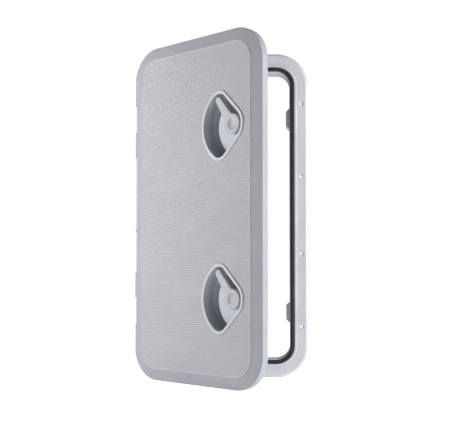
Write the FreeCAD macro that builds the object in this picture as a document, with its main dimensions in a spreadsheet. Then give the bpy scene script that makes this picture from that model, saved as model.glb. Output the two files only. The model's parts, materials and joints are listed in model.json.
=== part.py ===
import FreeCAD, Part
import math
import os
import Sketcher

# Access hatch: an upright rectangular hatch with a flanged frame, a hinged lid and two
# recessed quarter-turn latches. Millimetres. X runs to the free edge, Y into the bulkhead
# and Z up. The origin is the centre of the cut-out, on the face that the flange seats on.
# The lid is drawn shut in a frame of its own, whose Z axis is the hinge line, and is then
# swung open on that line.

doc = FreeCAD.newDocument("access_hatch")
sheet = doc.addObject("Spreadsheet::Sheet", "Sizes")

# Every driving dimension and its name.
SIZES = [
    ("outer_width", 321.0),
    ("outer_height", 606.0),
    ("corner_radius", 60.0),
    # Frame section, counted inwards from the outer edge
    ("flange_thick", 5.0),
    ("bevel_width", 4.7),
    ("bevel_drop", 3.0),
    ("lip_start", 21.0),
    ("lip_slope", 1.0),
    ("lip_width", 3.6),
    ("lip_rise", 2.4),
    ("seat_thick", 3.0),
    ("seat_width", 7.6),
    ("curb_width", 1.2),
    ("curb_rise", 0.8),
    ("collar_wall", 3.0),
    ("collar_depth", 36.5),
    # Mounting screws
    ("screw_inset", 13.0),
    ("screw_hole_radius", 2.1),
    ("countersink_radius", 4.3),
    ("side_screw_inner", 72.0),
    ("side_screw_outer", 208.0),
    ("end_screw_offset", 70.0),
    # Gasket
    ("gasket_fit", 0.15),
    ("gasket_side", 2.2),
    ("gasket_crown", 1.6),
    # Keepers on the free side of the collar
    ("keeper_end_gap", 120.6),
    ("keeper_base", 41.0),
    ("keeper_flat", 26.5),
    ("keeper_reach", 6.6),
    ("keeper_front", 2.0),
    ("keeper_chamfer", 3.2),
    # Hinge
    ("hinge_inset", 4.6),
    ("hinge_rise", 12.4),
    ("barrel_radius", 5.2),
    ("neck_reach", 3.4),
    ("pin_radius", 2.5),
    ("pin_chamfer", 0.5),
    ("pin_grip", 0.05),
    ("pin_running_fit", 0.1),
    ("knuckle_gap", 0.3),
    ("notch_gap", 0.4),
    ("mid_knuckle_end", 106.7),
    ("short_knuckle_start", 154.5),
    ("short_knuckle_end", 203.7),
    ("web_height", -30.0),
    ("web_thick", 3.0),
    ("blind_end", 3.0),
    ("hinge_wall", 2.5),
    ("rest_angle", 41.2),
    # Lid
    ("rim_gap", 1.0),
    ("rim_depth", 12.5),
    ("heel_relief", 1.4),
    ("rim_wall", 3.0),
    ("border_width", 24.3),
    ("border_ends", 22.2),
    ("border_rise", 3.15),
    ("panel_step", 0.6),
    ("panel_radius", 37.0),
    ("panel_thick", 3.5),
    ("edge_radius", 1.2),
    ("press_rib_thick", 2.2),
    ("press_rib_gap", 0.3),
    ("rib_root", 0.9),
    ("stiffener_thick", 2.0),
    ("stiffener_depth", 7.5),
    ("stiffener_pitch", 58.0),
    # Latch cup, measured from the axis that the lever turns on
    ("latch_inset", 64.5),
    ("latch_end_gap", 156.25),
    ("latch_drop", 4.8),
    ("cup_nose_centre", 6.6),
    ("cup_nose_radius", 32.6),
    ("cup_lobe_across", 31.0),
    ("cup_lobe_up", 37.1),
    ("cup_lobe_radius", 23.4),
    ("cup_back_centre", 3.9),
    ("cup_rim_width", 6.4),
    ("cup_rim_rise", 1.8),
    ("cup_rim_round", 1.6),
    ("cup_wall", 2.5),
    ("cup_fit", 0.3),
    ("plateau_depth", 11.0),
    ("pocket_depth", 24.0),
    ("plateau_centre", 7.0),
    ("plateau_drop", 2.0),
    ("plateau_radius", 52.0),
    ("plateau_round", 3.5),
    ("pocket_round", 5.0),
    ("tower_radius", 9.0),
    ("gusset_thick", 2.4),
    ("gusset_reach", 19.0),
    # Lever
    ("lever_hub_radius", 17.6),
    ("lever_length", 53.8),
    ("lever_tip_radius", 7.1),
    ("lever_root_half", 10.2),
    ("lever_blend", 9.0),
    ("lever_proud", 1.4),
    ("lever_thick", 6.5),
    ("lever_round", 2.3),
    ("lever_gap", 0.3),
    ("lever_angle", 127.6),
    ("lever_turn", 109.0),
    ("dish_radius", 40.0),
    ("dish_depth", 1.4),
    # Spindle, cam and their fasteners
    ("spindle_radius", 5.0),
    ("spindle_square", 7.0),
    ("socket_depth", 6.0),
    ("square_fit", 0.1),
    ("cam_gap", 0.5),
    ("cam_thick", 3.0),
    ("cam_hub_radius", 9.0),
    ("cam_length", 39.0),
    ("cam_tip_radius", 6.0),
    ("cam_lock_angle", 46.0),
    ("washer_thick", 1.5),
    ("washer_radius", 9.0),
    ("spring_washer_thick", 1.2),
    ("spring_washer_radius", 6.5),
    ("screw_radius", 2.4),
    ("screw_length", 14.0),
    ("screw_head_radius", 5.0),
    ("screw_head_rise", 3.2),
    ("screw_recess", 1.6),
    ("o_ring_section", 0.9),
    ("o_ring_gap", 0.2),
]


class Size:
    """A driving dimension, or a sum of them: its value now and the text that ties it."""

    def __init__(self, value, text):
        self.value = float(value)
        self.text = text

    @staticmethod
    def of(other):
        return other if isinstance(other, Size) else Size(other, repr(float(other)))

    def __add__(self, other):
        other = Size.of(other)
        return Size(self.value + other.value, f"({self.text} + {other.text})")

    def __radd__(self, other):
        return Size.of(other) + self

    def __sub__(self, other):
        other = Size.of(other)
        return Size(self.value - other.value, f"({self.text} - {other.text})")

    def __rsub__(self, other):
        return Size.of(other) - self

    def __mul__(self, other):
        other = Size.of(other)
        return Size(self.value * other.value, f"({self.text} * {other.text})")

    def __rmul__(self, other):
        return self * other

    def __truediv__(self, other):
        other = Size.of(other)
        return Size(self.value / other.value, f"({self.text} / {other.text})")

    def __neg__(self):
        return Size(-self.value, f"(-1 * {self.text})")


class Sheet:
    """Keeps the driving dimensions and hands each one back by its name."""

    def __init__(self):
        for row, (name, value) in enumerate(SIZES, start=1):
            sheet.set(f"A{row}", name)
            sheet.set(f"B{row}", str(value))
            sheet.setAlias(f"B{row}", name)
            setattr(self, name, Size(value, f"Sizes.{name}"))
        doc.recompute()


size = Sheet()


def root(square):
    return Size(math.sqrt(square.value), f"sqrt({square.text})")


# Places that several pieces share
HALF_WIDTH = size.outer_width / 2
HALF_HEIGHT = size.outer_height / 2
SEAT_START = size.lip_start + size.lip_slope + size.lip_width
CURB_START = SEAT_START + size.seat_width
OPENING_INSET = CURB_START + size.curb_width
SEAT_MIDDLE = SEAT_START + size.seat_width / 2
GASKET_FRONT = size.seat_thick + size.gasket_side + size.gasket_crown

# Lid frame: heights in front of the hinge line are counted towards the viewer
LID_LEFT = -size.hinge_inset
LID_RIGHT = size.outer_width - size.hinge_inset
RIM_BACK = -(size.hinge_rise - size.flange_thick - size.rim_gap)
RIM_FRONT = RIM_BACK + size.rim_depth
PANEL_FRONT = RIM_FRONT + size.border_rise + size.panel_step
PANEL_BACK = PANEL_FRONT - size.panel_thick
PRESS_BACK = -(size.hinge_rise - GASKET_FRONT - size.press_rib_gap)
LATCH_ACROSS = LID_RIGHT - size.latch_inset
UPPER_LATCH_UP = HALF_HEIGHT - size.latch_end_gap - size.latch_drop
LOWER_LATCH_UP = size.latch_end_gap - HALF_HEIGHT - size.latch_drop

# Latch frame: depths behind the panel's front face
CUP_BACK = size.plateau_depth + size.cup_wall
CAM_FRONT = PANEL_FRONT + size.hinge_rise + size.collar_depth + size.cam_gap
CAM_BACK = CAM_FRONT + size.cam_thick
TOWER_BACK = CAM_FRONT - size.washer_thick - size.lever_gap
LEVER_BACK = size.plateau_depth - size.lever_gap
SCREW_SEAT = CAM_BACK + size.spring_washer_thick


def bind(feature, name, length):
    """Sets a property and keeps it tied to the driving dimensions."""
    feature.setExpression(name, length.text)


def new_body(label):
    body = doc.addObject("PartDesign::Body", label)
    body.Label = label
    return body


def plane_of(body, role):
    for feature in body.Origin.OriginFeatures:
        if feature.Role == role:
            return feature
    raise ValueError(role)


class Drawing:
    """A flat drawing on one of a body's own planes, each size tied to a driving dimension."""

    def __init__(self, body, name, role, raised=None):
        self.sketch = body.newObject("Sketcher::SketchObject", name)
        self.sketch.AttachmentSupport = [(plane_of(body, role), "")]
        self.sketch.MapMode = "FlatFace"
        if raised is not None:
            bind(self.sketch, "AttachmentOffset.Base.z", raised)

    def pin(self, kind, *items, length=None):
        if length is None:
            return self.sketch.addConstraint(Sketcher.Constraint(kind, *items))
        index = self.sketch.addConstraint(Sketcher.Constraint(kind, *items, length.value))
        self.sketch.setExpression(f"Constraints[{index}]", length.text)
        return index

    def place(self, item, end, across, up):
        """Holds a point at its distances from the origin."""
        self.pin("DistanceX", -1, 1, item, end, length=across)
        self.pin("DistanceY", -1, 1, item, end, length=up)

    def circle(self, across, up, radius, construction=False):
        centre = FreeCAD.Vector(across.value, up.value, 0)
        shape = Part.Circle(centre, FreeCAD.Vector(0, 0, 1), radius.value)
        item = self.sketch.addGeometry(shape, construction)
        self.pin("Radius", item, length=radius)
        self.place(item, 3, across, up)
        return item

    def outline(self, points, bends=None):
        """Closes a loop through points. bends gives a stretch its radius, positive where
        the arc's centre lies to the left of the way along the loop."""
        bends = bends or {}
        count = len(points)
        items = []
        for index, (across, up) in enumerate(points):
            after = points[(index + 1) % count]
            start = FreeCAD.Vector(across.value, up.value, 0)
            finish = FreeCAD.Vector(after[0].value, after[1].value, 0)
            if index in bends:
                shape = arc_between(start, finish, bends[index].value)
            else:
                shape = Part.LineSegment(start, finish)
            items.append(self.sketch.addGeometry(shape, False))
        for index, item in enumerate(items):
            before = index - 1
            turned = index in bends and bends[index].value < 0
            turned_before = before % count in bends and bends[before % count].value < 0
            start, end_before = (2 if turned else 1), (1 if turned_before else 2)
            self.pin("Coincident", items[before], end_before, item, start)
            self.place(item, start, *points[index])
            if index in bends:
                radius = bends[index] if not turned else -bends[index]
                self.pin("Radius", item, length=radius)
        return items


def arc_between(start, finish, radius):
    """The shorter arc from start to finish; a negative radius bends it the other way."""
    chord = finish - start
    across = FreeCAD.Vector(-chord.y, chord.x, 0).normalize()
    reach = math.sqrt(radius * radius - chord.Length ** 2 / 4)
    rise = math.copysign(reach, radius) - radius
    middle = (start + finish) / 2 + across * rise
    return Part.Arc(start, middle, finish)


def rounded_rectangle(drawing, left, right, half_height, radius):
    """An upright rectangle with round corners, starting half way up its right side."""
    zero = Size.of(0)
    high = half_height - radius
    points = [
        (right, zero),
        (right, high),
        (right - radius, half_height),
        (left + radius, half_height),
        (left, high),
        (left, -high),
        (left + radius, -half_height),
        (right - radius, -half_height),
        (right, -high),
    ]
    return drawing.outline(points, {1: radius, 3: radius, 5: radius, 7: radius})


def rectangle(drawing, left, right, low, high):
    drawing.outline([(left, low), (right, low), (right, high), (left, high)])


def frame_outline(drawing, inset):
    """The hatch's outline on the frame, moved inwards by inset."""
    rounded_rectangle(
        drawing, inset - HALF_WIDTH, HALF_WIDTH - inset, HALF_HEIGHT - inset, size.corner_radius - inset
    )


def lid_outline(drawing, inset):
    """The same outline in the lid's frame."""
    radius = size.corner_radius - inset
    rounded_rectangle(drawing, LID_LEFT + inset, LID_RIGHT - inset, HALF_HEIGHT - inset, radius)


def panel_outline(drawing):
    """The raised panel: the lid's outline without its border."""
    left = LID_LEFT + size.border_width
    right = LID_RIGHT - size.border_width
    rounded_rectangle(drawing, left, right, HALF_HEIGHT - size.border_ends, size.panel_radius)


def extrude(body, kind, name, drawing, length, reverse=False):
    feature = body.newObject(kind, name)
    feature.Profile = drawing.sketch
    bind(feature, "Length", length)
    feature.Reversed = reverse
    return feature


def pad(body, name, drawing, length, reverse=False):
    return extrude(body, "PartDesign::Pad", name, drawing, length, reverse)


def pocket(body, name, drawing, length, reverse=False):
    return extrude(body, "PartDesign::Pocket", name, drawing, length, reverse)


def loft(body, kind, name, first, last):
    feature = body.newObject(kind, name)
    feature.Profile = first.sketch
    feature.Sections = [last.sketch]
    feature.Ruled = True
    return feature


def edges_where(body, test):
    """Names of the edges of the body's newest shape that pass a test."""
    doc.recompute()
    tip = body.Tip
    names = [f"Edge{n}" for n, edge in enumerate(tip.Shape.Edges, start=1) if test(edge)]
    return tip, names


def dress(body, kind, name, amount, length, test):
    """A fillet or chamfer on the edges that pass the test."""
    base, names = edges_where(body, test)
    if not names:
        raise ValueError(f"{name} found no edges")
    feature = body.newObject(kind, name)
    feature.Base = (base, names)
    bind(feature, amount, length)
    return feature


def fillet(body, name, radius, test):
    return dress(body, "PartDesign::Fillet", name, "Radius", radius, test)


def chamfer(body, name, length, test):
    return dress(body, "PartDesign::Chamfer", name, "Size", length, test)


def near(one, other, slack=0.01):
    return abs(one - other) < slack


def spans(edge, axis, value):
    """True where the whole edge lies at one value along an axis."""
    box = edge.BoundBox
    low, high = {"x": (box.XMin, box.XMax), "y": (box.YMin, box.YMax), "z": (box.ZMin, box.ZMax)}[axis]
    return near(low, value) and near(high, value)


# Frame

def frame_section(drawing):
    """Section through the right side of the frame, from the flange's outer edge round."""
    def at(inset, front):
        return (HALF_WIDTH - inset, -front)

    zero = Size.of(0)
    flange = size.flange_thick
    lip_foot = size.lip_start + size.lip_slope
    drawing.outline([
        at(zero, zero),
        at(zero, flange - size.bevel_drop),
        at(size.bevel_width, flange),
        at(size.lip_start, flange),
        at(lip_foot, flange + size.lip_rise),
        at(SEAT_START, flange + size.lip_rise),
        at(SEAT_START, size.seat_thick),
        at(CURB_START, size.seat_thick),
        at(CURB_START, size.seat_thick + size.curb_rise),
        at(OPENING_INSET, size.seat_thick + size.curb_rise),
        at(OPENING_INSET, -size.collar_depth),
        at(OPENING_INSET - size.collar_wall, -size.collar_depth),
        at(OPENING_INSET - size.collar_wall, zero),
    ])


def sweep_round(body, name, section, inset):
    """Carries a section drawn on the right side round the hatch's outline."""
    path = Drawing(body, name + "_path", "XZ_Plane")
    frame_outline(path, inset)
    feature = body.newObject("PartDesign::AdditivePipe", name)
    feature.Profile = section.sketch
    feature.Spine = path.sketch
    feature.Mode = "Frenet"
    return feature


def lid_knuckle_spans():
    """Bottom and top of each gap that the frame's knuckles leave for the lid's."""
    half_web = size.web_thick / 2
    return [
        (size.mid_knuckle_end, size.short_knuckle_start),
        (-size.short_knuckle_start, -size.mid_knuckle_end),
        (size.web_height - half_web, size.web_height + half_web),
    ]


def frame_knuckle_spans():
    """Bottom and top of each knuckle on the frame: what lies between the lid's."""
    half_web = size.web_thick / 2
    return [
        (size.short_knuckle_start, size.short_knuckle_end),
        (size.web_height + half_web, size.mid_knuckle_end),
        (-size.mid_knuckle_end, size.web_height - half_web),
        (-size.short_knuckle_end, -size.short_knuckle_start),
    ]


def box_between(body, name, kind, left, right, back, front, low, high):
    """A block, added or taken away, from its limits along X, Y and Z."""
    drawing = Drawing(body, name + "_plan", "XY_Plane", low if kind == "PartDesign::Pad" else high)
    rectangle(drawing, left, right, front, back)
    return extrude(body, kind, name, drawing, high - low)


def make_frame():
    body = new_body("frame")
    section = Drawing(body, "frame_section", "XY_Plane")
    frame_section(section)
    sweep_round(body, "frame_ring", section, Size.of(0))

    # Hinge: one long barrel on a neck, then the gaps where the lid's knuckles run
    hinge_across = size.hinge_inset - HALF_WIDTH
    barrel = Drawing(body, "barrel_round", "XY_Plane", -size.short_knuckle_end)
    barrel.circle(hinge_across, -size.hinge_rise, size.barrel_radius)
    pad(body, "barrel", barrel, 2 * size.short_knuckle_end)
    neck_foot = size.bevel_drop - size.flange_thick
    box_between(
        body, "neck", "PartDesign::Pad", -HALF_WIDTH, hinge_across + size.neck_reach,
        neck_foot, -size.hinge_rise, -size.short_knuckle_end, size.short_knuckle_end,
    )
    clear = 2 * size.barrel_radius
    for index, (low, high) in enumerate(lid_knuckle_spans()):
        box_between(
            body, f"knuckle_space_{index}", "PartDesign::Pocket",
            hinge_across - clear, hinge_across + clear,
            -size.flange_thick, -2 * size.hinge_rise, low, high,
        )
    bore = Drawing(body, "bore_round", "XY_Plane", size.short_knuckle_end)
    bore.circle(hinge_across, -size.hinge_rise, size.pin_radius + size.pin_grip)
    pocket(body, "bore", bore, 2 * size.short_knuckle_end - size.blind_end)

    # Keepers: tabs with sloping ends on the free side's inner wall
    tabs = Drawing(body, "keeper_shape", "XZ_Plane", -size.keeper_front)
    wall = HALF_WIDTH - OPENING_INSET + size.collar_wall / 2
    face = HALF_WIDTH - OPENING_INSET - size.keeper_reach
    half_base = size.keeper_base / 2
    half_flat = size.keeper_flat / 2
    keeper_up = HALF_HEIGHT - size.keeper_end_gap
    for middle in (keeper_up, -keeper_up):
        tabs.outline([
            (wall, middle - half_base),
            (wall, middle + half_base),
            (face, middle + half_flat),
            (face, middle - half_flat),
        ])
    pad(body, "keepers", tabs, size.collar_depth - size.keeper_front, reverse=True)
    chamfer(
        body, "keeper_lead", size.keeper_chamfer,
        lambda edge: spans(edge, "x", face.value) and spans(edge, "y", size.keeper_front.value),
    )

    # Countersunk screw holes round the flange
    side = HALF_WIDTH - size.screw_inset
    end = HALF_HEIGHT - size.screw_inset
    places = [(side, size.side_screw_outer), (side, size.side_screw_inner), (size.end_screw_offset, end)]
    spots = [(x * i, z * k) for x, z in places for i in (1, -1) for k in (1, -1)]
    holes = Drawing(body, "screw_places", "XZ_Plane", size.flange_thick)
    for across, up in spots:
        holes.circle(across, up, size.screw_hole_radius)
    pocket(body, "screw_holes", holes, size.flange_thick)
    chamfer(
        body, "countersinks", size.countersink_radius - size.screw_hole_radius,
        lambda edge: spans(edge, "y", -size.flange_thick.value)
        and edge.Curve.TypeId == "Part::GeomCircle"
        and near(edge.Curve.Radius, size.screw_hole_radius.value),
    )
    return body


def make_gasket():
    body = new_body("gasket")
    section = Drawing(body, "gasket_section", "XY_Plane")
    outer = HALF_WIDTH - SEAT_START - size.gasket_fit
    inner = HALF_WIDTH - CURB_START + size.gasket_fit
    side_front = -(size.seat_thick + size.gasket_side)
    half = (outer - inner) / 2
    crown = (half * half + size.gasket_crown * size.gasket_crown) / (2 * size.gasket_crown)
    section.outline(
        [(inner, -size.seat_thick), (inner, side_front), (outer, side_front), (outer, -size.seat_thick)],
        {1: crown},
    )
    sweep_round(body, "gasket_ring", section, Size.of(0))
    return body


def make_hinge_pin():
    body = new_body("hinge_pin")
    round_end = Drawing(body, "pin_round", "XY_Plane", size.blind_end - size.short_knuckle_end)
    round_end.circle(Size.of(0), Size.of(0), size.pin_radius)
    pad(body, "pin_rod", round_end, 2 * size.short_knuckle_end - size.blind_end)
    chamfer(body, "pin_ends", size.pin_chamfer, lambda edge: edge.Curve.TypeId == "Part::GeomCircle")
    return body


def cup_outline(drawing, inset, across=0, up=0, step_radius=None):
    """The latch cup's outline moved inwards by inset: a nose and two lobes joined by
    straight sides, and a long arc at the back. With step_radius it is the finger pocket
    only, which ends at an arc of that radius beside the hub."""
    across, up = Size.of(across), Size.of(up)
    nose_radius = size.cup_nose_radius - inset
    lobe_radius = size.cup_lobe_radius - inset
    nose_across = -size.cup_nose_centre.value
    lobe_across, lobe_up = -size.cup_lobe_across.value, size.cup_lobe_up.value
    back_across = -size.cup_back_centre.value
    normal = math.atan2(lobe_up, lobe_across - nose_across) - math.acos(
        (nose_radius.value - lobe_radius.value) / math.hypot(lobe_across - nose_across, lobe_up)
    )
    lean = math.atan2(lobe_up, lobe_across - back_across)
    back_radius = math.hypot(lobe_across - back_across, lobe_up) + lobe_radius.value
    axis = FreeCAD.Vector(0, 0, 1)
    origin = FreeCAD.Vector(across.value, up.value, 0)
    turn = 2 * math.pi

    def arc(x, y, radius, first, last):
        circle = Part.Circle(origin + FreeCAD.Vector(x, y, 0), axis, radius)
        return drawing.sketch.addGeometry(Part.ArcOfCircle(circle, first, last), False)

    def side(sign, start):
        """A straight side between the lobe and start, in the loop's own direction."""
        leaning = FreeCAD.Vector(math.cos(normal), sign * math.sin(normal), 0)
        lobe = origin + FreeCAD.Vector(lobe_across, sign * lobe_up, 0) + leaning * lobe_radius.value
        ends = (start, lobe) if sign > 0 else (lobe, start)
        return drawing.sketch.addGeometry(Part.LineSegment(*ends), False)

    def nose_point(sign):
        leaning = FreeCAD.Vector(math.cos(normal), sign * math.sin(normal), 0)
        return origin + FreeCAD.Vector(nose_across, 0, 0) + leaning * nose_radius.value

    if step_radius is None:
        nose = arc(nose_across, 0, nose_radius.value, -normal, normal)
        upper = side(1, nose_point(1))
        lower = side(-1, nose_point(-1))
        drawing.pin("Tangent", nose, 2, upper, 1)
        drawing.pin("Tangent", lower, 2, nose, 1)
        drawing.pin("Radius", nose, length=nose_radius)
        drawing.place(nose, 3, across - size.cup_nose_centre, up)
    else:
        centre = FreeCAD.Vector(size.plateau_centre.value, -size.plateau_drop.value, 0)

        def meeting(sign):
            """Where the step meets a straight side, seen from the step's centre."""
            foot = nose_point(sign) - origin - centre
            way = FreeCAD.Vector(-math.sin(normal), sign * math.cos(normal), 0)
            along = foot.dot(way)
            run = math.sqrt(along * along - foot.Length ** 2 + step_radius.value ** 2) - along
            return foot + way * run

        upper_end, lower_end = meeting(1), meeting(-1)
        first = math.atan2(upper_end.y, upper_end.x)
        last = math.atan2(lower_end.y, lower_end.x)
        step = arc(centre.x, centre.y, step_radius.value, first, turn + last)
        upper = side(1, origin + centre + upper_end)
        lower = side(-1, origin + centre + lower_end)
        drawing.pin("Coincident", step, 1, upper, 1)
        drawing.pin("Coincident", lower, 2, step, 2)
        drawing.pin("Radius", step, length=step_radius)
        drawing.place(step, 3, across + size.plateau_centre, up - size.plateau_drop)
        nose = drawing.circle(across - size.cup_nose_centre, up, nose_radius, construction=True)
        drawing.pin("Tangent", upper, nose)
        drawing.pin("Tangent", lower, nose)
    upper_lobe = arc(lobe_across, lobe_up, lobe_radius.value, normal, lean)
    back = arc(back_across, 0, back_radius, lean, turn - lean)
    lower_lobe = arc(lobe_across, -lobe_up, lobe_radius.value, turn - lean, turn - normal)
    drawing.pin("Tangent", upper, 2, upper_lobe, 1)
    drawing.pin("Tangent", upper_lobe, 2, back, 1)
    drawing.pin("Tangent", back, 2, lower_lobe, 1)
    drawing.pin("Tangent", lower_lobe, 2, lower, 1)
    for lobe, rise in ((upper_lobe, size.cup_lobe_up), (lower_lobe, -size.cup_lobe_up)):
        drawing.pin("Radius", lobe, length=lobe_radius)
        drawing.place(lobe, 3, across - size.cup_lobe_across, up + rise)
    drawing.pin("DistanceX", -1, 1, back, 3, length=across - size.cup_back_centre)


def round_hinge_edge(body):
    """Rounds the front edge beside the hinge about the pin, so that it clears the flange
    as the lid swings. The arc meets the side and the sloping border without a corner."""
    radius = size.hinge_inset
    slope = size.border_rise / size.border_width
    secant = root(slope * slope + 1)
    centre_up = radius * secant - RIM_FRONT - radius * slope
    touch_across = -radius * slope / secant
    touch_up = centre_up - radius / secant
    beyond = -2 * PANEL_FRONT
    top = HALF_HEIGHT
    drawing = Drawing(body, "hinge_edge_section", "XY_Plane", top)
    drawing.outline(
        [
            (touch_across, touch_up),
            (-radius, centre_up),
            (-2 * radius, centre_up),
            (-2 * radius, beyond),
            (touch_across, beyond),
        ],
        {0: -radius},
    )
    pocket(body, "hinge_edge", drawing, 2 * top)


def make_lid_shell():
    body = new_body("lid_shell")
    zero = Size.of(0)

    # Outer skin: a slab, the sloping border and the raised panel
    slab = Drawing(body, "slab_outline", "XZ_Plane", RIM_BACK)
    lid_outline(slab, zero)
    pad(body, "slab", slab, size.rim_depth)
    border_foot = Drawing(body, "border_foot", "XZ_Plane", RIM_FRONT)
    lid_outline(border_foot, zero)
    border_top = Drawing(body, "border_top", "XZ_Plane", RIM_FRONT + size.border_rise)
    panel_outline(border_top)
    loft(body, "PartDesign::AdditiveLoft", "border", border_foot, border_top)
    panel = Drawing(body, "panel_outline", "XZ_Plane", RIM_FRONT + size.border_rise)
    panel_outline(panel)
    pad(body, "panel", panel, size.panel_step)
    fillet(
        body, "outer_edge", size.edge_radius,
        lambda edge: spans(edge, "y", -RIM_FRONT.value),
    )

    # Hollow back
    hollow = Drawing(body, "hollow_outline", "XZ_Plane", RIM_BACK)
    lid_outline(hollow, size.rim_wall)
    straight_depth = size.rim_depth - size.rim_wall
    pocket(body, "hollow", hollow, straight_depth, reverse=True)
    inner_foot = Drawing(body, "inner_foot", "XZ_Plane", RIM_BACK + straight_depth)
    lid_outline(inner_foot, size.rim_wall)
    inner_top = Drawing(body, "inner_top", "XZ_Plane", PANEL_BACK)
    panel_outline(inner_top)
    loft(body, "PartDesign::SubtractiveLoft", "inner_slope", inner_foot, inner_top)

    # Rib that presses on the gasket
    rib_top = PANEL_BACK + size.rib_root
    press = Drawing(body, "press_rib_outline", "XZ_Plane", PRESS_BACK)
    lid_outline(press, SEAT_MIDDLE - size.press_rib_thick / 2)
    lid_outline(press, SEAT_MIDDLE + size.press_rib_thick / 2)
    pad(body, "press_rib", press, rib_top - PRESS_BACK)

    # Stiffening ribs, both ways
    rib_back = PANEL_BACK - size.stiffener_depth
    half_rib = size.stiffener_thick / 2
    inner_left = LID_LEFT + SEAT_MIDDLE
    inner_right = LID_RIGHT - SEAT_MIDDLE
    inner_half_height = HALF_HEIGHT - SEAT_MIDDLE
    middle = (LID_LEFT + LID_RIGHT) / 2
    level_ribs = Drawing(body, "level_rib_lines", "XZ_Plane", rib_back)
    pitch = size.stiffener_pitch.value
    rows = int((inner_half_height.value - pitch / 2) // pitch)
    for row in range(-rows, rows + 1):
        up = size.stiffener_pitch * row
        rectangle(level_ribs, inner_left, inner_right, up - half_rib, up + half_rib)
    pad(body, "level_ribs", level_ribs, rib_top - rib_back)
    upright_ribs = Drawing(body, "upright_rib_lines", "XZ_Plane", rib_back)
    columns = int((middle.value - inner_left.value - pitch / 2) // pitch)
    for column in range(-columns, columns + 1):
        across = middle + size.stiffener_pitch * column
        rectangle(upright_ribs, across - half_rib, across + half_rib, -inner_half_height, inner_half_height)
    pad(body, "upright_ribs", upright_ribs, rib_top - rib_back)

    # Openings for the latch cups, each with a wall round it behind the panel
    hole_inset = size.cup_rim_width - size.cup_wall - size.cup_fit
    walls = Drawing(body, "cup_wall_outline", "XZ_Plane", rib_back)
    holes = Drawing(body, "cup_hole_outline", "XZ_Plane", PANEL_FRONT)
    for up in (UPPER_LATCH_UP, LOWER_LATCH_UP):
        cup_outline(walls, hole_inset - size.stiffener_thick, LATCH_ACROSS, up)
        cup_outline(holes, hole_inset, LATCH_ACROSS, up)
    pad(body, "cup_walls", walls, rib_top - rib_back)
    pocket(body, "cup_holes", holes, PANEL_FRONT - rib_back)

    # Hinge side: notches round the frame's knuckles, a wall behind them, and the lid's own
    notch_right = size.barrel_radius + size.notch_gap
    for index, (low, high) in enumerate(frame_knuckle_spans()):
        box_between(
            body, f"notch_{index}", "PartDesign::Pocket",
            2 * LID_LEFT, notch_right, -2 * RIM_BACK, -2 * PANEL_FRONT,
            low - size.knuckle_gap, high + size.knuckle_gap,
        )
    round_hinge_edge(body)
    heel_back = -RIM_BACK - size.heel_relief
    skin_back = -(RIM_FRONT - size.rim_wall / 2)
    wall_end = size.short_knuckle_end + size.hinge_wall
    box_between(
        body, "hinge_wall", "PartDesign::Pad",
        notch_right, notch_right + size.hinge_wall, heel_back, skin_back, -wall_end, wall_end,
    )
    for index, (low, high) in enumerate(lid_knuckle_spans()):
        foot = low + size.knuckle_gap
        top = high - size.knuckle_gap
        box_between(
            body, f"knuckle_block_{index}", "PartDesign::Pad",
            LID_LEFT, notch_right, zero, skin_back, foot, top,
        )
        barrel = Drawing(body, f"knuckle_round_{index}", "XY_Plane", foot)
        barrel.circle(zero, zero, size.hinge_inset)
        pad(body, f"knuckle_{index}", barrel, top - foot)
    heel = Drawing(body, "heel_outline", "XZ_Plane", RIM_BACK)
    rectangle(heel, 2 * LID_LEFT, notch_right, -HALF_HEIGHT, HALF_HEIGHT)
    pocket(body, "heel", heel, size.heel_relief, reverse=True)
    bore = Drawing(body, "lid_bore_round", "XY_Plane", size.short_knuckle_start)
    bore.circle(zero, zero, size.pin_radius + size.pin_running_fit)
    pocket(body, "lid_bore", bore, 2 * size.short_knuckle_start)
    return body


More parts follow.
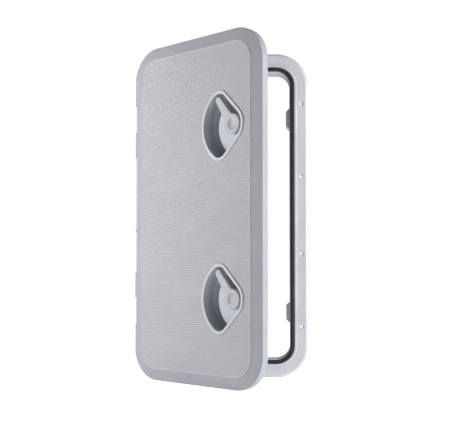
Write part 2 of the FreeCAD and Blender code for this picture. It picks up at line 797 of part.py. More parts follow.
def make_cup(label):
    body = new_body(label)
    zero = Size.of(0)
    outer_inset = size.cup_rim_width - size.cup_wall
    rim = Drawing(body, "rim_outline", "XZ_Plane", zero)
    cup_outline(rim, zero)
    pad(body, "rim", rim, size.cup_rim_rise)
    tray = Drawing(body, "tray_outline", "XZ_Plane", zero)
    cup_outline(tray, outer_inset)
    pad(body, "tray", tray, CUP_BACK, reverse=True)
    deep = Drawing(body, "deep_outline", "XZ_Plane", zero)
    cup_outline(deep, outer_inset, step_radius=size.plateau_radius - size.cup_wall)
    pad(body, "deep", deep, size.pocket_depth + size.cup_wall, reverse=True)

    # Tower that carries the spindle back to the cam, with four gussets
    tower = Drawing(body, "tower_round", "XZ_Plane", -size.plateau_depth)
    tower.circle(zero, zero, size.tower_radius)
    pad(body, "tower", tower, TOWER_BACK - size.plateau_depth, reverse=True)
    gusset_top = TOWER_BACK - size.tower_radius
    for name, role in (("level_gussets", "XY_Plane"), ("upright_gussets", "YZ_Plane")):
        drawing = Drawing(body, name + "_shape", role)
        for sign in (1, -1):
            foot = size.plateau_depth
            corners = [(size.tower_radius / 2 * sign, foot), (size.gusset_reach * sign, foot)]
            corners += [(size.gusset_reach * sign, CUP_BACK), (size.tower_radius / 2 * sign, gusset_top)]
            if role == "YZ_Plane":
                corners = [(up, across) for across, up in corners]
            drawing.outline(corners)
        feature = pad(body, name, drawing, size.gusset_thick)
        feature.Midplane = True

    # Hollow: the shallow plateau first, then the finger pocket beside it
    shallow = Drawing(body, "shallow_outline", "XZ_Plane", size.cup_rim_rise)
    cup_outline(shallow, size.cup_rim_width)
    pocket(body, "shallow", shallow, size.cup_rim_rise + size.plateau_depth)
    finger = Drawing(body, "finger_outline", "XZ_Plane", zero)
    cup_outline(finger, size.cup_rim_width, step_radius=size.plateau_radius)
    pocket(body, "finger", finger, size.pocket_depth)
    fillet(body, "pocket_floor", size.pocket_round, lambda edge: spans(edge, "y", size.pocket_depth.value))
    fillet(
        body, "plateau_edge", size.plateau_round,
        lambda edge: spans(edge, "y", size.plateau_depth.value)
        and edge.Curve.TypeId == "Part::GeomCircle"
        and near(edge.Curve.Radius, size.plateau_radius.value),
    )
    fillet(body, "rim_edges", size.cup_rim_round, lambda edge: spans(edge, "y", -size.cup_rim_rise.value))
    seal_radius = size.spindle_radius + size.o_ring_gap + 2 * size.o_ring_section
    seal = Drawing(body, "seal_round", "XZ_Plane", -size.plateau_depth)
    seal.circle(zero, zero, seal_radius + size.o_ring_gap)
    pocket(body, "seal_seat", seal, 2 * (size.o_ring_section + size.o_ring_gap))
    bore = Drawing(body, "spindle_bore_round", "XZ_Plane", zero)
    bore.circle(zero, zero, size.spindle_radius + size.pin_running_fit)
    pocket(body, "spindle_bore", bore, TOWER_BACK)
    return body


def tapered_arm(drawing, root_half, length, tip_radius):
    """An arm along X that narrows to a round tip, tangent to its sides."""
    zero = Size.of(0)
    lean = (root_half - tip_radius) / length
    flat = root(1 - lean * lean)
    tip_across = length + tip_radius * lean
    tip_up = tip_radius * flat
    drawing.outline(
        [(zero, -root_half), (tip_across, -tip_up), (tip_across, tip_up), (zero, root_half)],
        {1: tip_radius},
    )


def square_outline(drawing, side):
    half = side / 2
    rectangle(drawing, -half, half, -half, half)


def make_lever(label):
    body = new_body(label)
    zero = Size.of(0)
    hub = Drawing(body, "hub_round", "XZ_Plane", -LEVER_BACK)
    hub.circle(zero, zero, size.lever_hub_radius)
    pad(body, "hub", hub, LEVER_BACK + size.lever_proud)
    arm = Drawing(body, "arm_outline", "XZ_Plane", size.lever_proud - size.lever_thick)
    tapered_arm(arm, size.lever_root_half, size.lever_length, size.lever_tip_radius)
    pad(body, "arm", arm, size.lever_thick)
    fillet(
        body, "arm_blend", size.lever_blend,
        lambda edge: near(edge.Length, size.lever_thick.value)
        and edge.Curve.TypeId == "Part::GeomLine"
        and near(math.hypot(edge.BoundBox.Center.x, edge.BoundBox.Center.z), size.lever_hub_radius.value),
    )
    fillet(
        body, "soft_edges", size.lever_round,
        lambda edge: spans(edge, "y", -size.lever_proud.value),
    )
    dish = Drawing(body, "dish_section", "XY_Plane")
    half = root(2 * size.dish_radius * size.dish_depth - size.dish_depth * size.dish_depth)
    floor = size.dish_depth - size.lever_proud
    above = -size.lever_proud
    clear = above - size.dish_depth
    dish.outline([(zero, floor), (half, above), (half, clear), (zero, clear)], {0: -size.dish_radius})
    groove = body.newObject("PartDesign::Groove", "dish")
    groove.Profile = dish.sketch
    groove.ReferenceAxis = (dish.sketch, ["V_Axis"])
    groove.Angle = 360
    socket = Drawing(body, "socket_outline", "XZ_Plane", -LEVER_BACK)
    square_outline(socket, size.spindle_square + size.square_fit)
    pocket(body, "socket", socket, size.socket_depth + size.square_fit, reverse=True)
    return body


def make_spindle(label):
    body = new_body(label)
    zero = Size.of(0)
    shaft = Drawing(body, "shaft_round", "XZ_Plane", -LEVER_BACK)
    shaft.circle(zero, zero, size.spindle_radius)
    pad(body, "shaft", shaft, CAM_FRONT - LEVER_BACK, reverse=True)
    front = Drawing(body, "front_square", "XZ_Plane", -LEVER_BACK)
    square_outline(front, size.spindle_square)
    pad(body, "front_end", front, size.socket_depth)
    back = Drawing(body, "back_square", "XZ_Plane", -CAM_FRONT)
    square_outline(back, size.spindle_square)
    pad(body, "back_end", back, size.cam_thick - size.square_fit, reverse=True)
    thread = Drawing(body, "thread_round", "XZ_Plane", -CAM_BACK)
    thread.circle(zero, zero, size.screw_radius)
    pocket(body, "thread", thread, size.screw_length + size.square_fit, reverse=True)
    return body


def ring(label, front, thick, inner_radius, outer_radius):
    """A flat ring whose front face lies at a depth behind the panel's face."""
    body = new_body(label)
    drawing = Drawing(body, "ring_rounds", "XZ_Plane", -front)
    zero = Size.of(0)
    drawing.circle(zero, zero, outer_radius)
    drawing.circle(zero, zero, inner_radius)
    pad(body, "ring", drawing, thick, reverse=True)
    return body


def make_cam(label):
    body = new_body(label)
    zero = Size.of(0)
    hub = Drawing(body, "cam_round", "XZ_Plane", -CAM_FRONT)
    hub.circle(zero, zero, size.cam_hub_radius)
    pad(body, "cam_hub", hub, size.cam_thick, reverse=True)
    arm = Drawing(body, "cam_arm", "XZ_Plane", -CAM_FRONT)
    tapered_arm(arm, size.cam_hub_radius, size.cam_length, size.cam_tip_radius)
    pad(body, "cam_blade", arm, size.cam_thick, reverse=True)
    hole = Drawing(body, "cam_square", "XZ_Plane", -CAM_FRONT)
    square_outline(hole, size.spindle_square + size.square_fit)
    bind(hole.sketch, "AttachmentOffset.Rotation.Angle", CAM_KEY_ANGLE)
    pocket(body, "cam_hole", hole, size.cam_thick)
    return body


def make_cam_screw(label):
    body = new_body(label)
    zero = Size.of(0)
    shank = Drawing(body, "shank_round", "XZ_Plane", -SCREW_SEAT)
    shank.circle(zero, zero, size.screw_radius)
    pad(body, "shank", shank, size.screw_length + size.spring_washer_thick)
    head = Drawing(body, "head_round", "XZ_Plane", -SCREW_SEAT)
    head.circle(zero, zero, size.screw_head_radius)
    pad(body, "head", head, size.screw_head_rise, reverse=True)
    back = SCREW_SEAT + size.screw_head_rise
    fillet(body, "head_round_over", size.screw_head_rise / 2, lambda edge: spans(edge, "y", back.value))
    drive = Drawing(body, "drive_hexagon", "XZ_Plane", -back)
    reach = size.screw_radius
    half = reach / 2
    tall = reach * Size.of(math.sin(math.pi / 3))
    drive.outline([(reach, zero), (half, tall), (-half, tall), (-reach, zero), (-half, -tall), (half, -tall)])
    pocket(body, "drive", drive, size.screw_recess, reverse=True)
    return body


def make_o_ring(label):
    seal = doc.addObject("Part::Torus", label)
    seal.Label = label
    bind(seal, "Radius1", size.spindle_radius + size.o_ring_gap + size.o_ring_section)
    bind(seal, "Radius2", size.o_ring_section)
    return seal


# Each latch's cam is the same piece, set one flat of its square apart
SQUARE_STEP = 90
CAM_KEY_ANGLE = size.lever_angle + size.lever_turn - size.cam_lock_angle
VERTICAL = FreeCAD.Vector(0, 0, 1)
TO_VIEWER = FreeCAD.Vector(0, -1, 0)
HINGE_LINE = FreeCAD.Vector((size.hinge_inset - HALF_WIDTH).value, -size.hinge_rise.value, 0)
LID_SWING = FreeCAD.Placement(HINGE_LINE, FreeCAD.Rotation(VERTICAL, -size.rest_angle.value))


def latch_place(up, turn, depth=0.0):
    """Where a latch piece goes: on the lever's axis, turned anticlockwise as seen in front."""
    base = FreeCAD.Vector(LATCH_ACROSS.value, depth - PANEL_FRONT.value, up)
    return LID_SWING.multiply(FreeCAD.Placement(base, FreeCAD.Rotation(TO_VIEWER, turn)))


def build():
    """Every piece by name."""
    frame = make_frame()
    gasket = make_gasket()
    pin = make_hinge_pin()
    pin.Placement = FreeCAD.Placement(HINGE_LINE, FreeCAD.Rotation())
    lid = make_lid_shell()
    lid.Placement = LID_SWING
    pieces = [frame, gasket, pin, lid]
    lever_turn = size.lever_angle.value
    upper_cam_turn = size.cam_lock_angle.value - size.lever_turn.value
    latches = (
        ("upper", UPPER_LATCH_UP.value, upper_cam_turn),
        ("lower", LOWER_LATCH_UP.value, upper_cam_turn - SQUARE_STEP),
    )
    for side, up, cam_turn in latches:
        cup = make_cup(f"{side}_latch_cup")
        cup.Placement = latch_place(up, 0)
        seal = make_o_ring(f"{side}_o_ring")
        seal_depth = (size.plateau_depth + size.o_ring_section + size.o_ring_gap).value
        level = FreeCAD.Placement(FreeCAD.Vector(), FreeCAD.Rotation(FreeCAD.Vector(1, 0, 0), 90))
        seal.Placement = latch_place(up, 0, seal_depth).multiply(level)
        lever = make_lever(f"{side}_lever")
        lever.Placement = latch_place(up, lever_turn)
        spindle = make_spindle(f"{side}_spindle")
        spindle.Placement = latch_place(up, lever_turn)
        washer = ring(
            f"{side}_thrust_washer", CAM_FRONT - size.washer_thick, size.washer_thick,
            size.spindle_radius + size.pin_running_fit, size.washer_radius,
        )
        washer.Placement = latch_place(up, lever_turn)
        cam = make_cam(f"{side}_cam")
        cam.Placement = latch_place(up, cam_turn)
        spring = ring(
            f"{side}_spring_washer", CAM_BACK, size.spring_washer_thick,
            size.screw_radius + size.pin_running_fit, size.spring_washer_radius,
        )
        spring.Placement = latch_place(up, lever_turn)
        screw = make_cam_screw(f"{side}_cam_screw")
        screw.Placement = latch_place(up, lever_turn)
        pieces += [cup, seal, lever, spindle, washer, cam, spring, screw]
    return pieces


def check(pieces):
    """Stops on any failed feature, open sketch or bad solid."""
    for item in doc.Objects:
        if {"Invalid", "Error"} & set(item.State):
            raise RuntimeError(f"{item.Label} failed: {item.State}")
    for piece in pieces:
        shape = piece.Shape
        if shape.isNull() or not shape.isValid() or not shape.Solids:
            raise RuntimeError(f"{piece.Label} has no valid solid")


def write(pieces):
    os.makedirs("parts", exist_ok=True)
    for piece in pieces:
        piece.Shape.exportStep(f"parts/{piece.Label}.step")
        print(piece.Label, len(piece.Shape.Solids), round(piece.Shape.Volume))


pieces = build()
doc.recompute()
check(pieces)
write(pieces)
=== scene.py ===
# %% [markdown]
# An access hatch: a flanged frame for a bulkhead, a lid that is hinged on its left side, and
# two latches that are sunk into the lid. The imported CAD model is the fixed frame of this
# scene. It is loaded first, and everything else is placed by what it says, in metres.

# %% Load the frame
import bpy
import bmesh
import json
import math
from mathutils import Matrix, Vector
from mathutils.bvhtree import BVHTree


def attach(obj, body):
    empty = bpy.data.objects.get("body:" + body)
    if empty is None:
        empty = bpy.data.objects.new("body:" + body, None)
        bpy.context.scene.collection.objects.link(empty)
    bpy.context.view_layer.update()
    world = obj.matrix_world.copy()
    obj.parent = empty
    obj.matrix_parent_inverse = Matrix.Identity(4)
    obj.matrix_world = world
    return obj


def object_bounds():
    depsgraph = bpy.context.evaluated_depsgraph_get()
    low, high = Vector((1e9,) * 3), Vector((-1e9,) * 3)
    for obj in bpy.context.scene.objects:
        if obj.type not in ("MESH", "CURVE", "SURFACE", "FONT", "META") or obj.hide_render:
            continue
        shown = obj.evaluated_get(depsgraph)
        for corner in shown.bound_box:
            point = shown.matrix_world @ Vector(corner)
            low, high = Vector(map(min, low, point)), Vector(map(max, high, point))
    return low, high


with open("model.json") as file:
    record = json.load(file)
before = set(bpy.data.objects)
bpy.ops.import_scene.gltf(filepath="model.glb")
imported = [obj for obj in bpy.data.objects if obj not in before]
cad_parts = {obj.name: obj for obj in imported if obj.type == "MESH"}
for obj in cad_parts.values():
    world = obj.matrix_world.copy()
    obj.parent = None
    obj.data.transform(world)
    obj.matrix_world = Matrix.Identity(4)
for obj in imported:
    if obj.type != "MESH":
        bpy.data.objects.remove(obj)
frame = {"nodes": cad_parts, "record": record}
cad_low, cad_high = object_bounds()
MM = 0.001
nodes = frame["nodes"]
joints = {joint["name"]: joint for joint in frame["record"]["behaviour"]["joints"]}
print("CAD box", [round(v, 4) for v in cad_low], [round(v, 4) for v in cad_high])

# %% [markdown]
# The lid stands open at rest, so its panel is turned against the frame's axes. Most of the
# work on it is easier on a lid that lies flat. The hinge joint says where the pin runs and
# how far the lid has swung, which is all that one matrix needs to carry a drawing from the
# shut lid to the open one.

# %% The lid's own frame
hinge_point = Vector(joints["lid_hinge"]["pos_m"])
lid_angle = -math.radians(joints["lid_hinge"]["range_deg"][0])
lid_matrix = Matrix.Translation(hinge_point) @ Matrix.Rotation(-lid_angle, 4, "Z")
print("hinge", [round(v / MM, 1) for v in hinge_point], "open", round(math.degrees(lid_angle), 1))

# %% [markdown]
# The uprights of the hatch run parallel in the photograph, while its top and bottom lines
# close in towards the left. So the camera was almost level and looked nearly straight at the
# frame, from a little below its middle and to the right. Its lens was moved up against the
# film instead of tilting it more, which is what the shift does.

# %% Camera
LENS = 67.83
SHIFT = 0.07
CAMERA_PLACE = Vector((94.8, -1654.8, -105.0)) * MM
CAMERA_TILT_UP = 1.772
CAMERA_TURN_LEFT = 2.504

camera_data = bpy.data.cameras.new("camera")
camera_data.lens = LENS
camera_data.shift_y = SHIFT
camera = bpy.data.objects.new("camera", camera_data)
camera.location = CAMERA_PLACE
camera.rotation_euler = (math.radians(90 + CAMERA_TILT_UP), 0, math.radians(CAMERA_TURN_LEFT))
bpy.context.scene.collection.objects.link(camera)
bpy.context.scene.camera = camera
print("camera", round(-CAMERA_PLACE.y, 3), "m in front of the frame")

# %% [markdown]
# The photograph was taken on white, and two lights explain its tones. One soft box stands on
# the left, and its light meets the open lid at about 45 degrees: the border's left slope is
# bright, its right slope dark, and the finger pockets lie in shade. The other stands on the
# far right, a little behind the plane of the lid, so that it lights the lid's free edge and
# the flange but not the panel. A weak third one behind the hatch keeps its back readable, and
# a weak overhead light the tops. The floor and the surround are white where the camera sees
# them, but give the hatch less light than such white would.

# %% Floor and light
FLOOR_HALF_SIZE = 60
FLOOR_GAP = 0.2 * MM
bpy.context.scene.view_settings.view_transform = "Standard"


def make_floor():
    mesh = bpy.data.meshes.new("floor")
    shape = bmesh.new()
    bmesh.ops.create_grid(shape, x_segments=1, y_segments=1, size=FLOOR_HALF_SIZE)
    bmesh.ops.translate(shape, verts=shape.verts, vec=(0, 0, cad_low.z - FLOOR_GAP))
    shape.to_mesh(mesh)
    shape.free()
    floor = bpy.data.objects.new("floor", mesh)
    bpy.context.scene.collection.objects.link(floor)
    return floor


def soft_box(name, place, target, width, height, power):
    light = bpy.data.lights.new(name, "AREA")
    light.shape = "RECTANGLE"
    light.size = width
    light.size_y = height
    light.energy = power
    box = bpy.data.objects.new(name, light)
    box.location = place
    box.rotation_euler = (Vector(target) - Vector(place)).to_track_quat("-Z", "Y").to_euler()
    bpy.context.scene.collection.objects.link(box)
    return box


def overhead(strength, softness):
    """A light straight from above; softness is its width in the sky, in degrees."""
    light = bpy.data.lights.new("overhead", "SUN")
    light.energy = strength
    light.angle = math.radians(softness)
    sky = bpy.data.objects.new("overhead", light)
    bpy.context.scene.collection.objects.link(sky)
    return sky


def make_surround(shown, given):
    """A white world: shown is its brightness to the camera, given the light that it gives."""
    world = bpy.data.worlds.new("surround")
    world.use_nodes = True
    tree = world.node_tree
    paths = tree.nodes.new("ShaderNodeLightPath")
    strength = tree.nodes.new("ShaderNodeMapRange")
    strength.inputs["To Min"].default_value = given
    strength.inputs["To Max"].default_value = shown
    tree.links.new(paths.outputs["Is Camera Ray"], strength.inputs["Value"])
    background = tree.nodes["Background"]
    background.inputs["Color"].default_value = (1, 1, 1, 1)
    tree.links.new(strength.outputs["Result"], background.inputs["Strength"])
    bpy.context.scene.world = world


floor = make_floor()
left_box = soft_box(
    "left_box", place=(-1.35, -0.15, 0.15), target=(-0.05, -0.1, 0), width=0.6, height=1.2, power=15
)
right_box = soft_box(
    "right_box", place=(1.7, -1.05, 0.2), target=(0.08, -0.15, 0), width=0.6, height=1.3, power=46
)
back_box = soft_box(
    "back_box", place=(0.5, 1.6, 0.9), target=(0, 0, 0), width=1.2, height=1.2, power=10
)
sky = overhead(strength=0.2, softness=50)
make_surround(shown=1.05, given=0.02)
print("lights", [round(light.data.energy, 2) for light in (left_box, right_box, back_box, sky)])

# %% [markdown]
# Shader sums are easier to read as sums. The class below wraps one output of a material's
# nodes. Adding, subtracting or multiplying such values adds Math nodes, and any other node
# comes from one method that takes its type, its settings and what its sockets get.

# %% Shader maths


class Value:
    """One output socket of a material, with sums that become Math nodes."""

    def __init__(self, tree, socket=None):
        self.tree = tree
        self.socket = socket

    def node(self, kind, settings=None, inputs=None, output=0):
        made = self.tree.nodes.new(kind)
        for name, setting in (settings or {}).items():
            setattr(made, name, setting)
        for name, value in (inputs or {}).items():
            connect(self.tree, made.inputs[name], value)
        return Value(self.tree, made.outputs[output])

    def math(self, operation, *others):
        numbers = dict(enumerate((self, *others)))
        return self.node("ShaderNodeMath", {"operation": operation}, numbers)

    def __add__(self, other):
        return self.math("ADD", other)

    def __radd__(self, other):
        return self.math("ADD", other)

    def __sub__(self, other):
        return self.math("SUBTRACT", other)

    def __rsub__(self, other):
        return self.node("ShaderNodeMath", {"operation": "SUBTRACT"}, {0: other, 1: self})

    def __mul__(self, other):
        return self.math("MULTIPLY", other)

    def __rmul__(self, other):
        return self.math("MULTIPLY", other)

    def step(self, low, high):
        """0 below low, 1 above high and a smooth rise between."""
        settings = {"interpolation_type": "SMOOTHSTEP"}
        return self.node("ShaderNodeMapRange", settings, {0: self, 1: low, 2: high})

    def mix(self, first, second):
        """first where this is 0 and second where it is 1, both colours."""
        sockets = {0: self, 6: first, 7: second}
        return self.node("ShaderNodeMix", {"data_type": "RGBA"}, sockets, output=2)


def connect(tree, socket, value):
    if isinstance(value, Value):
        tree.links.new(value.socket, socket)
    else:
        socket.default_value = value


def srgb(red, green, blue):
    """A colour as the eye names it, 0 to 255, in the linear numbers that a shader takes."""
    def linear(level):
        level /= 255
        return level / 12.92 if level <= 0.04045 else ((level + 0.055) / 1.055) ** 2.4

    return (linear(red), linear(green), linear(blue), 1)


class Finish:
    """A material being made: its shader, and a start for its values."""

    def __init__(self, name):
        self.material = bpy.data.materials.new(name)
        self.material.use_nodes = True
        self.tree = self.material.node_tree
        self.shader = self.tree.nodes["Principled BSDF"]
        self.start = Value(self.tree)
        self.places = self.start.node("ShaderNodeTexCoord", output="Object")

    def turned(self, location, rotation):
        """Object coordinates as seen from a frame at location, turned by rotation."""
        settings = {"vector_type": "TEXTURE"}
        sockets = {"Vector": self.places, "Location": location, "Rotation": rotation}
        return self.start.node("ShaderNodeMapping", settings, sockets)

    def noise(self, scale, detail, places=None):
        sockets = {"Vector": places or self.places, "Scale": scale, "Detail": detail}
        return self.start.node("ShaderNodeTexNoise", None, sockets)

    def bump(self, height, distance, strength, normal=None):
        sockets = {"Height": height, "Distance": distance, "Strength": strength}
        if normal is not None:
            sockets["Normal"] = normal
        return self.start.node("ShaderNodeBump", None, sockets)

    def set(self, **sockets):
        """Base_Color=..., Roughness=... and so on: a value, a number or a colour each."""
        for name, value in sockets.items():
            connect(self.tree, self.shader.inputs[name.replace("_", " ")], value)
        return self.material


# %% [markdown]
# The frame and lid are injection moulded in grey plastic. Such a surface is never quite
# even: the melt leaves faint cloudy patches, and the steel mould was spark eroded, which
# prints a very fine grain. Two noises give that, one wide for the colour and one fine for
# the bump. A bevel in the shader rounds the sharp CAD edges so that they catch light.

# %% Moulded plastic
CLOUDS_PER_METRE = 14
GRAINS_PER_METRE = 2600
CLOUD_CONTRAST = 0.03
GRAIN_DEPTH = 0.03 * MM
GRAIN_STRENGTH = 0.6


def shade(colour, factor):
    return tuple(min(1, level * factor) for level in colour[:3]) + (1,)


class Moulded(Finish):
    """Grey plastic from a spark-eroded mould."""

    def __init__(self, name):
        super().__init__(name)
        self.clouds = self.noise(CLOUDS_PER_METRE, detail=3)
        self.grain = self.noise(GRAINS_PER_METRE, detail=2)

    def clouded(self, colour):
        patches = self.clouds.step(low=0.3, high=0.7)
        return patches.mix(shade(colour, 1 - CLOUD_CONTRAST), shade(colour, 1 + CLOUD_CONTRAST))

    def finished(self, colour, roughness=0.42, edge=0.35 * MM):
        """edge is the radius to which sharp edges look rounded."""
        soft_edge = self.start.node("ShaderNodeBevel", {"samples": 4}, {"Radius": edge})
        uneven = (self.grain - 0.5) * 0.12 + (self.clouds - 0.5) * 0.1
        return self.set(
            Base_Color=colour,
            Roughness=roughness + uneven,
            Normal=self.bump(self.grain, GRAIN_DEPTH, GRAIN_STRENGTH, soft_edge),
        )


def moulded(name, colour, **finish):
    plastic = Moulded(name)
    return plastic.finished(plastic.clouded(colour), **finish)


frame_plastic = moulded("frame_plastic", srgb(196, 198, 202))
lever_plastic = moulded("lever_plastic", srgb(170, 173, 179), roughness=0.34)
print("plastics made")

# %% [markdown]
# The lid is one moulding with two finishes. Its border and back are smooth. The panel was
# etched deeper in the mould, so it is rougher and scatters more light, and looks paler.
# The material tells them apart by the height in front of the hinge line, in the lid's own
# frame: only the panel reaches the full height, which is read from the mesh.

# %% The lid's two finishes
flatten = lid_matrix.inverted()
lid_points = [flatten @ vertex.co for vertex in nodes["lid_shell"].data.vertices]
panel_front = -min(point.y for point in lid_points)
print("panel height in front of the hinge line", round(panel_front / MM, 2))


def front_height(plastic):
    """How far a point lies in front of the hinge line, at right angles to the lid."""
    flat = plastic.turned(hinge_point, (0, 0, -lid_angle))
    return plastic.start.node("ShaderNodeSeparateXYZ", None, {0: flat}, output="Y") * -1


def lid_finish():
    plastic = Moulded("lid_plastic")
    panel = front_height(plastic).step(low=panel_front - 0.4 * MM, high=panel_front - 0.2 * MM)
    border_colour = plastic.clouded(srgb(166, 169, 175))
    panel_colour = plastic.clouded(srgb(171, 172, 177))
    colour = panel.mix(border_colour, panel_colour)
    return plastic.finished(colour, roughness=0.4 + panel * 0.12)


lid_plastic = lid_finish()
print("lid finish made")

# %% [markdown]
# The latch cups are smooth, and their edges are well rounded. Their rim is pale grey, and shade is
# painted into their colour: deeper in the pocket it turns cooler and darker, as painted shade.
# Their rim is pale, while the plastic deep in the pocket has a
# cooler and slightly darker tone. Their edges are well rounded.

# %% Cup finish
CUP_SHADE_DEPTH = 16 * MM


def cup_finish():
    plastic = Moulded("cup_plastic")
    # Painted shade: the colour darkens and cools with depth below the panel's face, down into the
    # pocket.
    clear_of_painted_shade = front_height(plastic).step(low=panel_front - CUP_SHADE_DEPTH, high=panel_front)
    painted_shade_colour = plastic.clouded(srgb(174, 179, 188))
    rim_colour = plastic.clouded(srgb(195, 197, 201))
    return plastic.finished(clear_of_painted_shade.mix(painted_shade_colour, rim_colour), roughness=0.36, edge=1.0 * MM)


cup_plastic = cup_finish()
print("cup finish made")

# %% [markdown]
# The floor is a sheet of matt white background board, and it is overexposed as such a
# background is: it glows for the camera, and only about half as much for the hatch.

# %% Background board
SCUFFS_PER_METRE = 9


def board(name, colour, shown, given):
    """White board: shown is its glow to the camera, given the glow that lights the hatch."""
    finish = Finish(name)
    scuffs = finish.noise(SCUFFS_PER_METRE, detail=4)
    seen = finish.start.node("ShaderNodeLightPath", output="Is Camera Ray")
    return finish.set(
        Base_Color=scuffs.mix(shade(colour, 0.97), colour),
        Roughness=0.7 + scuffs * 0.2,
        Emission_Color=seen.mix(shade(colour, given), shade(colour, shown)),
        Emission_Strength=1.0,
    )


white_board = board("background_board", srgb(240, 240, 240), shown=1.15, given=0.56)
floor.data.materials.append(white_board)
print("background board made")

# %% [markdown]
# The gasket is a black rubber section. Rubber is matt and slightly dusty, and its skin
# carries tiny pits.

# %% Rubber
DUST_PER_METRE = 260
PITS_PER_METRE = 900
PIT_DEPTH = 0.08 * MM


def rubber(name):
    finish = Finish(name)
    dust = finish.noise(DUST_PER_METRE, detail=4)
    pits = finish.noise(PITS_PER_METRE, detail=2)
    clean_colour = srgb(26, 27, 30)
    dusty_colour = srgb(52, 53, 57)
    return finish.set(
        Base_Color=dust.step(low=0.45, high=0.75).mix(clean_colour, dusty_colour),
        Roughness=0.62 + (dust - 0.5) * 0.2,
        Normal=finish.bump(pits, PIT_DEPTH, strength=0.5),
    )


black_rubber = rubber("black_rubber")
print("rubber made")

# %% [markdown]
# Pins, cams and screws are stainless steel, turned or cut and then lightly brushed. Fine
# streaks along one direction are enough: a noise that is stretched in one axis.

# %% Steel
STREAKS_PER_METRE = (1500, 1500, 60)
STREAK_DEPTH = 0.01 * MM


def brushed(name):
    finish = Finish(name)
    sockets = {"Vector": finish.places, "Scale": STREAKS_PER_METRE}
    stretched = finish.start.node("ShaderNodeMapping", None, sockets)
    streaks = finish.noise(1, detail=3, places=stretched)
    dark_colour = srgb(150, 151, 153)
    light_colour = srgb(190, 191, 193)
    return finish.set(
        Base_Color=streaks.mix(dark_colour, light_colour),
        Metallic=1.0,
        Roughness=0.28 + streaks * 0.14,
        Normal=finish.bump(streaks, STREAK_DEPTH, strength=0.4),
    )


steel = brushed("brushed_steel")
print("steel made")

# %% [markdown]
# A thin half-round bead runs along the panel's edge. It hides the step between the two finishes and
# catches the light. It is also coloured paler than the lid, a painted highlight, so that the panel
# looks outlined. Its section is a vertex spun through half a turn. The section is drawn along one
# side and spun round one corner, and that four times. The bead has no back, because it lies on the
# lid.

# %% Panel bead
BEAD_RADIUS = 0.7 * MM
BEAD_SINK = 0.3 * MM
SECTION_STEPS = 6
CORNER_STEPS = 12
FLATNESS = 0.05 * MM
SAME_PLACE = 0.01 * MM


def find_panel():
    """Left, right and top of the panel, and its corner radius, in the lid's own frame."""
    flat = [point for point in lid_points if abs(point.y + panel_front) < FLATNESS]
    left = min(point.x for point in flat)
    right = max(point.x for point in flat)
    top = max(point.z for point in flat)
    corner = min(point.x for point in flat if point.z > top - SAME_PLACE) - left
    print("panel", [round(v / MM, 1) for v in (left, right, top, corner)])
    return left, right, top, corner


def add_piece(name, shape, finish):
    """A new piece on the lid, from a shape that is drawn in the lid's own frame."""
    bmesh.ops.transform(shape, matrix=lid_matrix, verts=shape.verts)
    for face in shape.faces:
        face.smooth = True
    mesh = bpy.data.meshes.new(name)
    shape.to_mesh(mesh)
    shape.free()
    mesh.materials.append(finish)
    piece = bpy.data.objects.new(name, mesh)
    bpy.context.scene.collection.objects.link(piece)
    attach(piece, "lid")


def only(kind, geometry):
    return [item for item in geometry if isinstance(item, kind)]


def make_bead():
    left, right, top, corner = panel_edges
    depth = BEAD_SINK - panel_front
    across = right - left - 2 * corner
    down = 2 * (top - corner)
    shape = bmesh.new()
    start = Vector((left + corner, depth, top))
    made = bmesh.ops.create_vert(shape, co=start + Vector((0, 0, BEAD_RADIUS)))
    bmesh.ops.spin(
        shape, geom=made["vert"], cent=start, axis=(1, 0, 0), angle=math.pi, steps=SECTION_STEPS
    )
    section = list(shape.edges)
    sides = (
        ((1, 0, 0), across, (right - corner, depth, top - corner)),
        ((0, 0, -1), down, (right - corner, depth, corner - top)),
        ((-1, 0, 0), across, (left + corner, depth, corner - top)),
        ((0, 0, 1), down, (left + corner, depth, top - corner)),
    )
    for direction, length, centre in sides:
        drawn = bmesh.ops.extrude_edge_only(shape, edges=section)["geom"]
        moved = only(bmesh.types.BMVert, drawn)
        bmesh.ops.translate(shape, verts=moved, vec=Vector(direction) * length)
        end = moved + only(bmesh.types.BMEdge, drawn)
        turned = bmesh.ops.spin(
            shape, geom=end, cent=centre, axis=(0, 1, 0), angle=math.pi / 2, steps=CORNER_STEPS
        )
        section = only(bmesh.types.BMEdge, turned["geom_last"])
    bmesh.ops.remove_doubles(shape, verts=shape.verts, dist=SAME_PLACE)
    bmesh.ops.recalc_face_normals(shape, faces=shape.faces)
    faces_back = sum(face.normal.y for face in shape.faces) > 0
    if faces_back:
        bmesh.ops.reverse_faces(shape, faces=shape.faces)
    print("bead faces", len(shape.faces))
    add_piece("panel_bead", shape, highlight_painted_plastic)


panel_edges = find_panel()
# Bead and dots get a much paler grey than the lid they are moulded with: a painted highlight for
# the light that they catch.
highlight_painted_plastic = moulded("highlight_painted_plastic", srgb(212, 213, 218))
make_bead()

# %% [markdown]
# The panel carries an anti-slip pattern: rows of small round dots, staggered like a honeycomb,
# up to the bead and to the rims of the latches. A dot is a low hexagonal frustum without a
# base, shaded smooth, because ten thousand of them have to stay light. Where a dot may stand
# is asked of the CAD model itself: rays from the front must meet the panel under the dot's
# middle and at six places round it.

# %% Anti-slip dots
ROW_GAP = 3.2 * MM
DOT_GAP = 3.7 * MM
DOT_RADIUS = 1.2 * MM
DOT_TOP = 0.7 * MM
DOT_HEIGHT = 0.45 * MM
DOT_MARGIN = 1.5 * MM
DOT_SIDES = 6
RAY_START = 100 * MM
BACKWARDS = 0.9


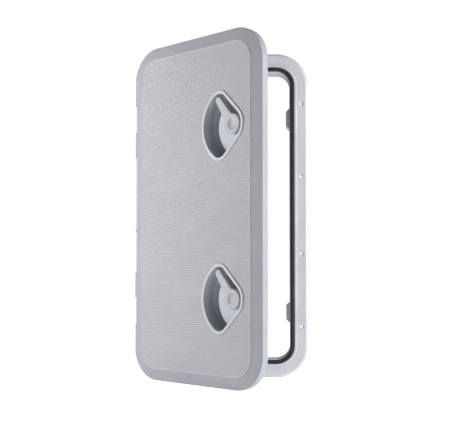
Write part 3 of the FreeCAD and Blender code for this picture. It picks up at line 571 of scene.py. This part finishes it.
def lid_surface():
    """The lid and both cups as one tree for rays, in the lid's own frame."""
    shape = bmesh.new()
    for name in ("lid_shell", "upper_latch_cup", "lower_latch_cup"):
        shape.from_mesh(nodes[name].data)
    bmesh.ops.transform(shape, matrix=flatten, verts=shape.verts)
    tree = BVHTree.FromBMesh(shape)
    shape.free()
    return tree


def meets_panel(tree, x, z):
    start = Vector((x, -panel_front - RAY_START, z))
    place = tree.ray_cast(start, Vector((0, 1, 0)))[0]
    return place is not None and abs(place.y + panel_front) < FLATNESS


def dot_fits(tree, x, z):
    corners = [math.tau * turn / DOT_SIDES for turn in range(DOT_SIDES)]
    ring = [(x + DOT_MARGIN * math.cos(a), z + DOT_MARGIN * math.sin(a)) for a in corners]
    return all(meets_panel(tree, *spot) for spot in [(x, z)] + ring)


def dot_row(spots):
    """One row of dots as a mesh, their tops towards the front."""
    row = bmesh.new()
    face_front = Matrix.Rotation(math.radians(90), 4, "X")
    for x, z in spots:
        place = Matrix.Translation((x, -panel_front - DOT_HEIGHT / 2, z)) @ face_front
        bmesh.ops.create_cone(
            row, segments=DOT_SIDES, cap_ends=True, cap_tris=False,
            radius1=DOT_RADIUS, radius2=DOT_TOP, depth=DOT_HEIGHT, matrix=place,
        )
    bases = [face for face in row.faces if face.normal.y > BACKWARDS]
    bmesh.ops.delete(row, geom=bases, context="FACES")
    mesh = bpy.data.meshes.new("dot_row")
    row.to_mesh(mesh)
    row.free()
    return mesh


def make_dots():
    tree = lid_surface()
    left, right, top = panel_edges[:3]
    rows = int(top / ROW_GAP)
    columns = int((right - left) / DOT_GAP) + 1
    shape = bmesh.new()
    count = 0
    for row in range(-rows, rows + 1):
        shift = DOT_GAP / 2 if row % 2 else 0
        places = [(left + shift + column * DOT_GAP, row * ROW_GAP) for column in range(columns)]
        spots = [spot for spot in places if dot_fits(tree, *spot)]
        count += len(spots)
        mesh = dot_row(spots)
        shape.from_mesh(mesh)
        bpy.data.meshes.remove(mesh)
    print("dots", count, "triangles", sum(len(face.verts) - 2 for face in shape.faces))
    # The dots take the bead's paler grey, a painted highlight.
    add_piece("anti_slip_dots", shape, highlight_painted_plastic)


make_dots()

# %% [markdown]
# Every CAD piece takes one of these finishes. Its name, without upper or lower, says which.
# What the table leaves out is one of the steel parts of hinge and latches.

# %% Dress the CAD pieces
FINISHES = {
    "frame": frame_plastic,
    "gasket": black_rubber,
    "lid_shell": lid_plastic,
    "latch_cup": cup_plastic,
    "lever": lever_plastic,
    "o_ring": black_rubber,
}
for name, node in nodes.items():
    kind = name.removeprefix("upper_").removeprefix("lower_")
    finish = FINISHES.get(kind, steel)
    if not node.data.materials:
        node.data.materials.append(finish)
    for slot in node.material_slots:
        slot.material = finish
print("dressed", len(nodes), "pieces")
